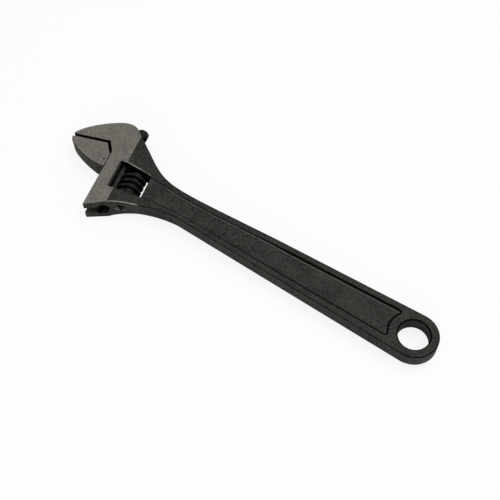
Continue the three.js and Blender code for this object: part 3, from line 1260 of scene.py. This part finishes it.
        def is_foot(edge: Edge) -> bool:
            """True along the floor's two long edges and round the boss."""
            return is_rim(edge) and middle(edge).z < PLAN.half and middle(edge).x < end[0] - TOUCH

        def is_wall_foot(edge: Edge) -> bool:
            """True where the sloping wall meets the floor."""
            floor_z, wall_z = sorted(face.normal.z for face in edge.link_faces)
            return floor_z < -self.foot_level and abs(wall_z + math.sqrt(0.5)) < TOUCH

        bevel_where(tool, is_foot, self.panel_draft, segments=1)
        bevel_where(tool, is_wall_foot, self.foot_fillet, segments=2)
        if side is Side.UNDER:
            turn_over(tool)
        combine(piece, tool, Way.CUT)

    def cut_head(self, piece: Piece) -> None:
        """Cuts the window, the bar's bore with its slot, and the pin's stepped hole.

        Args:
            piece: The blank.
        """
        corner_u = self.window_front - 2 * self.window_corner
        front, near = self.window_front, PLAN.window_near
        far = PLAN.far_wall(corner_u)
        far_start, near_start = (corner_u, far), (front, near - self.window_corner)
        window = [
            (PLAN.window_back, PLAN.far_wall(PLAN.window_back)),
            far_start,
            *bend(far_start, (front, far), (front, far + self.window_corner), self.corner_steps),
            near_start,
            *bend(near_start, (front, near), (corner_u, near), self.corner_steps),
            (PLAN.window_back, near),
        ]
        deep = PLAN.half + PLAN.past
        key_half = PLAN.key_thickness / 2 + PLAN.clearance
        beyond = PLAN.end_corner_v + PLAN.past
        slot_far = PLAN.jaw_slant - PLAN.key_lead - PLAN.clearance
        bore = rod(
            "bore", PLAN.bar_radius + PLAN.clearance, PLAN.bar_far - PLAN.past, beyond, SIDES
        )
        slot = block(
            "slot", (0, slot_far, -key_half), (PLAN.throat_u + PLAN.past, beyond, key_half)
        )
        narrow = PLAN.pin_radius + PLAN.pin_clearance
        wide = PLAN.pin_head_radius + PLAN.pin_clearance
        step = PLAN.window_near + PLAN.pin_head_land - PLAN.pin_clearance
        pin_far = PLAN.far_wall(PLAN.worm_u) - PLAN.pin_depth - PLAN.pin_clearance
        pin_hole = rod("pin_hole", narrow, pin_far, step + PLAN.overlap)
        tools = [
            place(bore, PLAN.shaft(0)),
            slot,
            plate("window", window, -deep, deep),
            place(pin_hole, PLAN.shaft(PLAN.worm_u)),
            place(rod("pin_seat", wide, step, beyond), PLAN.shaft(PLAN.worm_u)),
        ]
        for tool in tools:
            combine(piece, place(tool, PLAN.to_handle()), Way.CUT)

    def in_window(self, at: Vector) -> bool:
        """True within the window or on its walls, at a point of the head frame.

        Args:
            at: The point.

        Returns:
            Whether it is there.
        """
        slack = 2 * TOUCH
        return (
            PLAN.window_back - slack < at.x < self.window_front + slack
            and PLAN.window_far - slack < at.y < PLAN.window_near + slack
        )

    def in_mouth(self, at: Vector) -> bool:
        """True on the fixed jaw's face and on the throat's slope, at a point of the head frame."""
        return at.x > PLAN.guide_u + TOUCH and -3 * TOUCH < at.y < PLAN.throat_v

    def is_window_lip(self, edge: Edge) -> bool:
        """True round the window's two mouths.

        Args:
            edge: An edge of the cut body.

        Returns:
            Whether it is one.
        """
        at = PLAN.on_head(middle(edge))
        by_side = abs(at.z) > self.window_level
        return self.in_window(at) and by_side and is_rim(edge, self.window_broad)

    def is_far_lip(self, edge: Edge) -> bool:
        """True where the window's far wall meets the upper and under sides."""
        at = PLAN.on_head(middle(edge))
        return self.is_window_lip(edge) and at.y < PLAN.far_wall(at.x) + 3 * TOUCH

    def is_panel_lip(self, edge: Edge) -> bool:
        """True along the panel's upper edge, where it is still a step.

        Args:
            edge: An edge of the cut body.

        Returns:
            Whether it is one.
        """
        at = middle(edge)
        near_surface = abs(at.z) > PLAN.handle_thickness / 2 - TOUCH
        along = within(at.x, (self.lip_from, self.floor_rise[-1][0] - self.lip_fade))
        on_panel = along and abs(at.y) < self.lip_half
        return near_surface and on_panel and turn(edge) > self.lip_turn

    def is_hole_rim(self, edge: Edge) -> bool:
        """True round the hanging hole's two rims."""
        at = middle(edge)
        return abs(math.hypot(at.x, at.y) - self.hole_radius) < 2 * TOUCH and is_rim(edge)

    def is_end_lip(self, edge: Edge) -> bool:
        """True where the bore, its slot and the pin's hole open in the end wall.

        Args:
            edge: An edge of the cut body.

        Returns:
            Whether it is one.
        """
        at = PLAN.on_head(middle(edge))
        facing = max(PLAN.turned_to_head(face.normal).y for face in edge.link_faces)
        inner = abs(at.z) < PLAN.bar_radius + PLAN.clearance + TOUCH
        on_wall = abs(at.y - PLAN.end_wall(at.x)) < TOUCH
        return on_wall and inner and facing > self.bore_facing and turn(edge) > self.bore_turn

    def build(self) -> Piece:
        """Models the body in the handle frame.

        Returns:
            The body, with its faces painted.
        """
        piece = self.blank()
        for side in Side:
            self.cut_panel(piece, side)
        hole = rod("hole", self.hole_radius, -PLAN.half, PLAN.half, FINE_SIDES)
        combine(piece, hole, Way.CUT)
        self.cut_head(piece)
        merge_close(piece, self.cut_merge)
        self.paint_slots(piece)
        # Painted shade round the hanging hole's rims, and a painted highlight of uncoated steel on
        # the far window lip.
        painted_shade, rubbed_and_highlit = BodyFinish.SOOTED.value, BodyFinish.RUBBED.value
        for label, wanted, width, segments, finish in (
            ("panel", self.is_panel_lip, self.panel_lip, 2, NEIGHBOURS),
            ("hole", self.is_hole_rim, self.hole_round, 1, painted_shade),
            ("far window", self.is_far_lip, self.far_lip, 3, rubbed_and_highlit),
            ("window", self.is_window_lip, self.window_lip, 2, NEIGHBOURS),
            ("end wall", self.is_end_lip, self.bore_lip, 3, NEIGHBOURS),
        ):
            count = bevel_where(piece, wanted, width, segments, finish)
            LOG.info("body's %s lip: %d edges", label, count)
        merge_close(piece)
        return piece

    def finish_at(self, centre: Vector, normal: Vector) -> BodyFinish:
        """The finish of a face: ground flats, painted light on window walls and at the panel's
        foot, a painted highlight of uncoated steel on the head's front edge, and painted shade on
        slopes and in recesses.

        Args:
            centre: The face's centre in the handle frame.
            normal: The way it faces.

        Returns:
            Its finish.
        """
        leans = self.leans
        at, facing = PLAN.on_head(centre), PLAN.turned_to_head(normal)
        level = abs(facing.z)
        if at.x > PLAN.ridge_u and level > leans.ground and abs(at.z) > PLAN.key_thickness:
            return BodyFinish.GROUND
        # Window walls: painted light, and painted shade on the wall by the spring.
        if self.in_window(at) and level < leans.window_wall:
            by_spring = facing.y > self.spring_wall_facing
            return BodyFinish.SOOTED if by_spring else BodyFinish.MILLED
        # Jaw face and throat: painted shade.
        if self.in_mouth(at) and level < leans.mouth:
            return BodyFinish.SOOTED
        on_head = at.x > PLAN.window_back
        on_shoulder = on_head and at.y > PLAN.window_near + self.shoulder_from
        # A painted highlight of uncoated steel along the head's rounded front edge.
        if on_shoulder and at.x < PLAN.ridge_u and within(facing.z, leans.rubbed_and_highlit):
            return BodyFinish.RUBBED
        in_panel = not on_head and abs(at.z) < self.panel_below and facing.y > 0
        # A painted highlight along the panel's foot, facing the front.
        if in_panel and within(facing.z, leans.painted_light):
            return BodyFinish.MILLED
        # Painted shade: dark outlines on rounded edges and sloping walls.
        seen_edge_on = on_head or facing.y < 0 or facing.z < 0
        sloping = within(level, leans.painted_shade_edge if seen_edge_on else leans.painted_shade_front)
        return BodyFinish.SOOTED if sloping else BodyFinish.FORGED

    def paint_slots(self, piece: Piece) -> None:
        """Gives the piece its finishes.

        Args:
            piece: The cut body.
        """
        # Uncoated steel as a painted highlight, painted light for walls, and painted shade for
        # slopes and recesses.
        rubbed_and_highlit = BlackForging("rubbed_and_highlit_forging", rubbed_and_highlit=True)
        painted_light = BlackForging("painted_light_recess", dark="#2c2d29", light="#4c4d47", sheen=0.3)
        coat(piece, BlackForging(), GroundSteel(), rubbed_and_highlit, PaintedShadeForging(), painted_light)
        for face in piece.data.polygons:
            face.material_index = self.finish_at(face.center, face.normal).value

    def dress(self, piece: Piece) -> None:
        """Places and shades the body, and hands it over to the frame.

        Args:
            piece: The body in the handle frame.
        """
        smooth(place(piece, PLAN.handle_place()))
        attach(piece, "wrench_body")
        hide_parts("body")


# ------------------------------------------------------------------ sliding jaw
@dataclass
class SlidingJaw:
    """The moving jaw, its key and the toothed bar that the worm drives."""

    rest_opening: float = 2.05
    max_opening: float = 35.0
    throat_taper: float = 1.0
    guide_length: float = 10.4
    back: tuple[Point, Point] = ((45.4, 12.5), (16.4, 25.2))
    curve_steps: int = 28
    upper_round: float = 0.55
    under_round: float = 1.6
    tip_ease: float = 12.0
    machined_round: float = 0.15
    round_segments: int = 4
    blank_merge: float = 0.3
    bar_near: float = 41.0
    bar_chamfer: float = 1.0
    thread_clearance: float = 0.25
    thread_steps: int = 40
    tooth_corner: float = 0.0001
    dimple_at: Point = (14.4, 16.85)
    dimple_radius: float = 0.75
    dimple_depth: float = 0.5
    dimple_sides: int = 24
    ground_lean: float = 0.985
    # Upper slopes that get painted shade.
    painted_shade_lean: Point = (0.25, 0.96)

    @property
    def key_far(self) -> float:
        """V of the corner between the throat and the guide face."""
        return self.rest_opening + PLAN.jaw_slant

    @property
    def key_near(self) -> float:
        """V of the jaw's heel, where the key ends."""
        return self.key_far + self.guide_length

    def outline(self) -> list[Point]:
        """Plan of the jaw in the head frame.

        Returns:
            The corners in order, not closed.
        """
        tip = (PLAN.jaw_length, self.rest_opening + PLAN.tip_round)
        heel = (PLAN.jaw_guide_u, self.key_near)
        return [
            (PLAN.jaw_length - PLAN.tip_round, self.rest_opening),
            tip,
            *curve(tip, *self.back, heel, self.curve_steps),
            (PLAN.jaw_guide_u, self.key_far - self.throat_taper),
            (PLAN.jaw_throat_u, self.rest_opening),
        ]

    def rounding(self, edge: Edge) -> float:
        """Share of the forged rounding that a rim edge takes: least along the machined faces.

        Args:
            edge: An edge of the blank.

        Returns:
            The share, 0 where the edge stays sharp.
        """
        if not is_rim(edge):
            return 0.0
        at = middle(edge)
        on_face = at.y < self.rest_opening + TOUCH / 2
        throat_u = PLAN.jaw_throat_u - (at.y - self.rest_opening) * math.tan(PLAN.throat_angle)
        on_throat = at.y < self.key_far and at.x < throat_u + 3 * TOUCH
        if on_face or on_throat or at.x < PLAN.jaw_guide_u + TOUCH / 2:
            return self.machined_round / self.under_round
        if at.z > 0:
            return self.upper_round / self.under_round
        from_tip = (PLAN.jaw_length - at.x) / self.tip_ease
        return max(self.upper_round / self.under_round, min(from_tip, 1.0))

    def bar(self) -> Piece:
        """The round bar with broken ends, in its shaft frame.

        Returns:
            The bar before its teeth are cut.
        """
        piece = rod("bar", PLAN.bar_radius, PLAN.bar_far, self.bar_near, SIDES)
        bevel_where(piece, is_rim, self.bar_chamfer, segments=3)
        return piece

    def rack_cut(self) -> Piece:
        """What the worm sweeps out of the bar over the jaw's travel, in the worm's shaft frame.

        Returns:
            The cutter.
        """
        travel = self.max_opening - self.rest_opening
        low = PLAN.worm_far - travel - PLAN.past
        high = self.bar_near + PLAN.past
        section = PLAN.thread_section(self.thread_clearance, PLAN.core_radius, self.tooth_corner)
        ridge = thread("rack_cut", section, PLAN.lead, PLAN.turns(low, high), self.thread_steps)
        combine(ridge, rod("reach", 2 * PLAN.worm_radius, low, high), Way.COMMON)
        return ridge

    def dimple(self) -> Piece:
        """The small round mark of the hardness test in the upper face.

        Returns:
            The ball that cuts it.
        """
        slope = (PLAN.half - PLAN.tip_thickness / 2) / (PLAN.jaw_length - PLAN.ridge_u)
        surface = PLAN.half - slope * (self.dimple_at[0] - PLAN.ridge_u)
        centre = (*self.dimple_at, surface + self.dimple_radius - self.dimple_depth)
        bpy.ops.mesh.primitive_uv_sphere_add(
            segments=self.dimple_sides, ring_count=self.dimple_sides // 2,
            radius=self.dimple_radius, location=centre,
        )
        return place(bpy.context.object, Matrix.Translation(centre))

    def build(self) -> Piece:
        """Models the jaw in the head frame.

        Returns:
            The jaw.
        """
        high = PLAN.half + PLAN.overlap
        piece = plate("sliding_jaw", self.outline(), -high, high)
        combine(piece, PLAN.side_trim(), Way.COMMON)
        merge_close(piece, self.blank_merge)
        bevel_by_weight(piece, self.rounding, self.under_round, self.round_segments)
        combine(piece, self.dimple(), Way.CUT)
        key = block(
            "key", (0, self.key_far - PLAN.key_lead, -PLAN.key_thickness / 2),
            (PLAN.jaw_throat_u, self.key_near, PLAN.key_thickness / 2),
        )
        combine(piece, key, Way.JOIN)
        combine(piece, place(self.bar(), PLAN.shaft(0)), Way.JOIN)
        combine(piece, place(self.rack_cut(), PLAN.shaft(PLAN.worm_u)), Way.CUT)
        merge_close(piece)
        return piece

    def finish_at(self, centre: Vector, normal: Vector) -> BodyFinish:
        """The finish of a face: oxide on the bar, ground flats, and painted shade on upper slopes.

        Args:
            centre: The face's centre in the head frame.
            normal: The way it faces.

        Returns:
            Its finish.
        """
        if centre.x < PLAN.bar_radius + TOUCH:
            return BodyFinish.RUBBED
        if centre.x > PLAN.jaw_guide_u - TOUCH and abs(normal.z) > self.ground_lean:
            return BodyFinish.GROUND
        return BodyFinish.SOOTED if within(normal.z, self.painted_shade_lean) else BodyFinish.FORGED

    def dress(self, piece: Piece) -> None:
        """Gives the jaw its finishes, places and shades it, and hands it over to the frame.

        Args:
            piece: The jaw in the head frame.
        """
        # Painted shade for the upper slopes.
        painted_shade = PaintedShadeForging("painted_shade_jaw_edge")
        coat(piece, BlackForging(), GroundSteel(), BlackOxide("rubbed_bar"), painted_shade)
        for face in piece.data.polygons:
            face.material_index = self.finish_at(face.center, face.normal).value
        smooth(place(piece, PLAN.head_place()))
        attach(piece, "jaw")
        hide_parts("movable_jaw")


# ------------------------------------------------------------------ worm, pin and spring
@dataclass
class AdjustingWorm:
    """The knurled worm that the thumb turns."""

    crest_round: float = 0.3
    crest_clearance: float = 0.001
    steps: int = 72
    cut_merge: float = 0.04
    end_chamfer: float = 0.9
    grooves: int = 26
    groove_width: float = 0.7
    groove_depth: float = 0.35

    def grip_cut(self) -> Piece:
        """The ring of V grooves cut along the crests for grip.

        Returns:
            The cutter, all its grooves in one mesh.
        """
        low, high = PLAN.worm_far - PLAN.past, PLAN.worm_near + PLAN.past
        foot, edge = PLAN.worm_radius - self.groove_depth, PLAN.worm_radius + self.groove_depth
        section = [(foot, 0), (edge, -self.groove_width), (edge, self.groove_width)]
        groove = plate("grip_cut", section, low, high)
        with editing(groove, SelectBy.VERTEX, whole=True):
            for _ in range(self.grooves - 1):
                bpy.ops.mesh.duplicate()
                bpy.ops.transform.rotate(
                    value=math.tau / self.grooves, orient_axis="Z", center_override=(0, 0, 0)
                )
        return groove

    def build(self) -> Piece:
        """Models the worm in its shaft frame.

        Returns:
            The worm.
        """
        low, high = PLAN.worm_far, PLAN.worm_near
        sunk = (PLAN.core_radius + PLAN.seat_radius) / 2
        section = PLAN.thread_section(0, sunk, self.crest_round)
        piece = thread(
            "adjusting_worm_visual", section, PLAN.lead, PLAN.turns(low, high), self.steps
        )
        core = rod("core", PLAN.core_radius, low - PLAN.past, high + PLAN.past, SIDES)
        combine(piece, core, Way.JOIN)
        blank = rod("worm_blank", PLAN.worm_radius + self.crest_clearance, low, high, FINE_SIDES)
        bevel_where(blank, is_rim, self.end_chamfer, segments=1)
        combine(piece, blank, Way.COMMON)
        combine(piece, self.grip_cut(), Way.CUT)
        seat = rod("seat", PLAN.seat_radius, low - PLAN.past, low + PLAN.seat_depth)
        combine(piece, seat, Way.CUT)
        hole_radius = PLAN.pin_radius + PLAN.pin_clearance
        hole = rod("hole", hole_radius, low - PLAN.overlap, high + PLAN.past)
        combine(piece, hole, Way.CUT)
        merge_close(piece, self.cut_merge)
        drop_slivers(piece)
        return piece

    def dress(self, piece: Piece) -> None:
        """Gives the worm its finish, places and shades it, and hands it over to the frame.

        Args:
            piece: The worm in its shaft frame.
        """
        coat(piece, BlackOxide("black_oxide_worm"))
        smooth(place(piece, PLAN.worm_place()))
        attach(piece, "worm")
        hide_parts("adjusting_worm")


@dataclass
class WormPin:
    """The slotted pin that the worm turns on."""

    recess: float = 1.2
    slot_width: float = 1.0
    slot_depth: float = 1.2
    edge_round: float = 0.3

    def build(self) -> Piece:
        """Models the pin in the worm's shaft frame.

        Returns:
            The pin.
        """
        far = PLAN.far_wall(PLAN.worm_u) - PLAN.pin_depth
        head = PLAN.window_near + PLAN.pin_head_land
        near = PLAN.end_wall(PLAN.worm_u) - self.recess
        piece = rod("slotted_pin", PLAN.pin_radius, far, head + PLAN.overlap)
        cap = rod("pin_head", PLAN.pin_head_radius, head, near)

        def is_top(edge: Edge) -> bool:
            """True round the head's outer end."""
            return is_rim(edge) and middle(edge).z > near - TOUCH

        bevel_where(cap, is_top, self.edge_round, segments=3)
        combine(piece, cap, Way.JOIN)
        reach = PLAN.pin_head_radius + PLAN.past
        slot = block(
            "slot", (-self.slot_width / 2, -reach, near - self.slot_depth),
            (self.slot_width / 2, reach, near + PLAN.overlap),
        )
        combine(piece, slot, Way.CUT)
        return piece

    def dress(self, piece: Piece) -> None:
        """Gives the pin its finish, places and shades it, and hands it over to the frame.

        Args:
            piece: The pin in the worm's shaft frame.
        """
        coat(piece, BlackOxide("black_oxide_pin", dark="#1b1b19", light="#3a3834"))
        smooth(place(piece, PLAN.worm_place()))
        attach(piece, "wrench_body")
        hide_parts("worm_pin")


@dataclass
class WormSpring:
    """The light coil spring that takes up the worm's end play."""

    wire_radius: float = 0.35
    coil_radius: float = 2.8
    turns: int = 6
    end_gap: float = 0.3
    wire_sides: int = 12
    steps: int = 40
    shade_angle: float = 60.0

    def build(self) -> Piece:
        """Models the coil in the worm's shaft frame.

        Returns:
            The spring.
        """
        gap = self.wire_radius + self.end_gap
        low = PLAN.far_wall(PLAN.worm_u - PLAN.seat_radius) + gap
        high = PLAN.worm_far + PLAN.seat_depth - gap
        wire = arc((self.coil_radius, 0), self.wire_radius, 0, math.tau, self.wire_sides)[:-1]
        lead = (high - low) / self.turns
        piece = thread("coil_spring", wire, lead, (0, self.turns), self.steps)
        return place(piece, Matrix.Translation((0, 0, low)))

    def dress(self, piece: Piece) -> None:
        """Gives the spring its finish, places and shades it, and hands it over to the frame.

        Args:
            piece: The spring in the worm's shaft frame.
        """
        coat(piece, BlackOxide("oiled_spring_wire"))
        smooth(place(piece, PLAN.worm_place()), self.shade_angle)
        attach(piece, "wrench_body")
        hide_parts("worm_spring")


# ------------------------------------------------------------------ studio
@dataclass
class Softbox:
    """One soft rectangular lamp."""

    name: str
    at: tuple[float, float, float]
    size: Point
    power: float

    def light(self, target: Vector) -> None:
        """Hangs the lamp, facing a target.

        Args:
            target: The point it faces.
        """
        bpy.ops.object.light_add(type="AREA", location=self.at)
        lamp = bpy.context.object
        lamp.name = self.name
        lamp.data.shape = "RECTANGLE"
        lamp.data.size, lamp.data.size_y = self.size
        lamp.data.energy = self.power
        lamp.rotation_euler = (target - lamp.location).to_track_quat("-Z", "Y").to_euler()


@dataclass
class Studio:
    """Pale floor, soft lamps, white surroundings and the camera, set in the handle frame."""

    camera_at: tuple[float, float, float] = (-59.463, 261.828, 482.908)
    camera_to: tuple[float, float, float] = (122.936, 1.905, 0.0)
    camera_roll: float = -1.086
    lens: float = 61.65
    floor_size: float = 4.0
    floor_colour: str = "#f4f4f4"
    floor_glow: float = 0.86
    ambient: float = 0.55
    lamps: tuple[Softbox, ...] = (
        Softbox("front_softbox", (-0.25, 0.95, 0.4), (1.0, 0.5), 3.2),
        Softbox("top_softbox", (-0.3, -0.35, 1.1), (0.8, 0.8), 6.5),
    )

    def floor(self) -> None:
        """Lays the floor, which shows white and keeps a soft shadow."""
        bpy.ops.mesh.primitive_plane_add(size=self.floor_size)
        floor = bpy.context.object
        floor.name = "floor"
        material, tree = new_material("pale_matt_floor")
        seen = add_node(tree, "ShaderNodeLightPath").outputs["Is Camera Ray"]
        share = add_node(
            tree, "ShaderNodeMath", {"operation": "MULTIPLY", 1: self.floor_glow}, {0: seen}
        )
        paint = add_node(tree, "ShaderNodeBsdfDiffuse", {"Color": srgb(self.floor_colour)})
        glow = add_node(tree, "ShaderNodeEmission", {"Strength": 1.0})
        both = add_node(
            tree, "ShaderNodeMixShader",
            links={0: share.outputs[0], 1: paint.outputs[0], 2: glow.outputs[0]},
        )
        add_node(tree, "ShaderNodeOutputMaterial", links={"Surface": both.outputs[0]})
        floor.data.materials.append(material)

    def surroundings(self) -> None:
        """Lights the scene evenly, and shows white to the camera and to metal."""
        world = bpy.data.worlds.new("white_studio")
        bpy.context.scene.world = world
        world.use_nodes = True
        tree = world.node_tree
        tree.nodes.clear()
        path = add_node(tree, "ShaderNodeLightPath")
        seen = path.outputs["Is Camera Ray"]
        for kind in ("Is Glossy Ray", "Is Transmission Ray"):
            seen = add_node(
                tree, "ShaderNodeMath", {"operation": "MAXIMUM"},
                {0: seen, 1: path.outputs[kind]},
            ).outputs[0]
        strength = add_node(
            tree, "ShaderNodeMapRange", {"To Min": self.ambient, "To Max": 1.0}, {"Value": seen}
        )
        sky = add_node(
            tree, "ShaderNodeBackground", {"Color": (1, 1, 1, 1)},
            {"Strength": strength.outputs["Result"]},
        )
        add_node(tree, "ShaderNodeOutputWorld", links={"Surface": sky.outputs[0]})

    def camera(self) -> None:
        """Sets the camera up."""
        handle = PLAN.handle_place()
        at, to = handle @ Vector(self.camera_at), handle @ Vector(self.camera_to)
        bpy.ops.object.camera_add(location=at)
        camera = bpy.context.object
        turned = (to - at).to_track_quat("-Z", "Y").to_matrix().to_4x4()
        roll = Matrix.Rotation(math.radians(self.camera_roll), 4, "Z")
        camera.matrix_world = Matrix.Translation(at) @ turned @ roll
        camera.data.lens = self.lens
        bpy.context.scene.camera = camera

    def build(self) -> None:
        """Sets up everything round the wrench."""
        self.camera()
        self.floor()
        self.surroundings()
        midpoint = PLAN.handle_place() @ Vector(self.camera_to)
        for lamp in self.lamps:
            lamp.light(midpoint)
        bpy.context.scene.view_settings.view_transform = "Standard"


def clear_start_scene() -> None:
    """Takes away what Blender starts with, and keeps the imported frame."""
    kept = set(frame["nodes"].values()) | set(frame["bodies"].values())
    for other in [thing for thing in bpy.data.objects if thing not in kept]:
        bpy.data.objects.remove(other)


def main() -> None:
    """Builds the wrench and its studio."""
    logging.basicConfig(level=logging.INFO, format="%(message)s")
    clear_start_scene()
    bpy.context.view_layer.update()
    Studio().build()
    for part in (ForgedBody(), SlidingJaw(), AdjustingWorm(), WormPin(), WormSpring()):
        piece = part.build()
        part.dress(piece)
        faces, gaps = len(piece.data.polygons), open_edges(piece)
        LOG.info("%s: %d faces, %d open edges", piece.name, faces, gaps)


if __name__ == "__main__":
    main()
